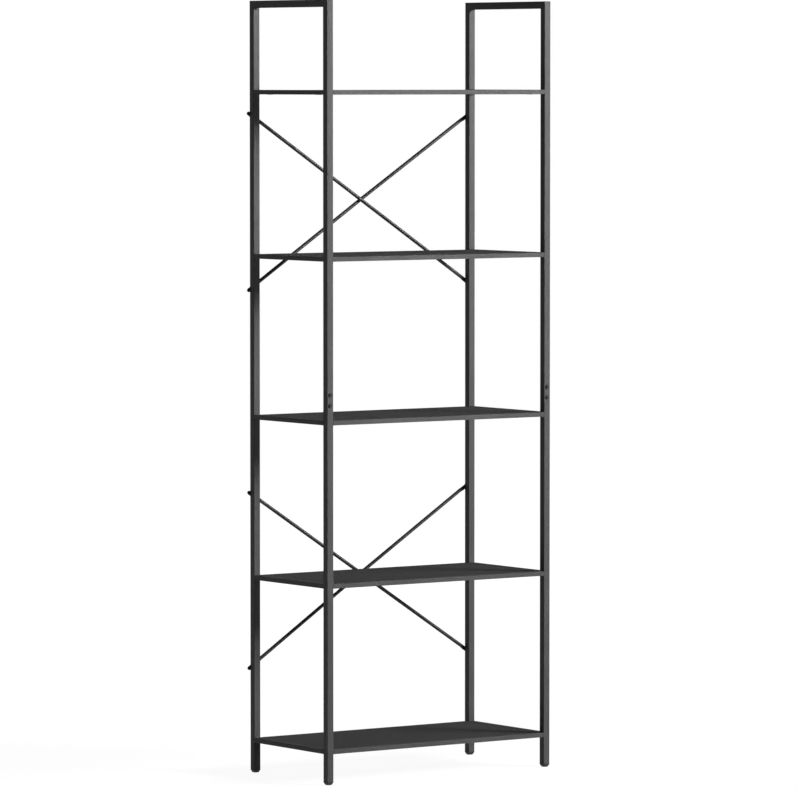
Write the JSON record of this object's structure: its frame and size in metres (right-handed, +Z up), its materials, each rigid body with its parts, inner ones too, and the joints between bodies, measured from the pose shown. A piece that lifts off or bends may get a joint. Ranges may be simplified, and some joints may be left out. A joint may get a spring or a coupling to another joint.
{
  "type": "bookcase",
  "caption": "Tall open bookcase of square steel tube: looped side frames in bolted halves, front rails, inset boards, crossed brace rods behind and square glides.",
  "frame": {"origin": "on the floor, under the middle of the whole part's bounding box", "axes": "+X to the viewer's right, +Y to the back where the brace rods are, +Z up"},
  "size_m": [0.6114, 0.315, 1.7],
  "materials": {
    "frame": "satin black powder coat",
    "board": "matt black laminate on board",
    "glide": "matt black",
    "fastener": "black oxide",
    "inner_steel": "plain steel, hidden"
  },
  "bodies": {
    "root": {"board_screws": "fastener", "brace_bolts": "fastener", "front_left_foot": "glide", "front_left_lower_post": "frame", "front_left_sleeve": "inner_steel", "front_left_upper_post": "frame", "front_rail_spigots": "inner_steel", "front_right_foot": "glide", "front_right_lower_post": "frame", "front_right_sleeve": "inner_steel", "front_right_upper_post": "frame", "left_top_bar": "frame", "lower_front_brace": "frame", "lower_rear_brace": "frame", "post_joint_bolts": "fastener", "rear_left_foot": "glide", "rear_left_lower_post": "frame", "rear_left_sleeve": "inner_steel", "rear_left_upper_post": "frame", "rear_right_foot": "glide", "rear_right_lower_post": "frame", "rear_right_sleeve": "inner_steel", "rear_right_upper_post": "frame", "right_top_bar": "frame", "shelf_1_board": "board", "shelf_1_front_rail": "frame", "shelf_1_left_rail": "frame", "shelf_1_right_rail": "frame", "shelf_1_tabs": "frame", "shelf_2_board": "board", "shelf_2_front_rail": "frame", "shelf_2_left_rail": "frame", "shelf_2_right_rail": "frame", "shelf_2_tabs": "frame", "shelf_3_board": "board", "shelf_3_front_rail": "frame", "shelf_3_left_rail": "frame", "shelf_3_right_rail": "frame", "shelf_3_tabs": "frame", "shelf_4_board": "board", "shelf_4_front_rail": "frame", "shelf_4_left_rail": "frame", "shelf_4_right_rail": "frame", "shelf_4_tabs": "frame", "shelf_5_board": "board", "shelf_5_front_rail": "frame", "shelf_5_left_rail": "frame", "shelf_5_right_rail": "frame", "shelf_5_tabs": "frame", "upper_front_brace": "frame", "upper_rear_brace": "frame"}
  },
  "joints": []
}
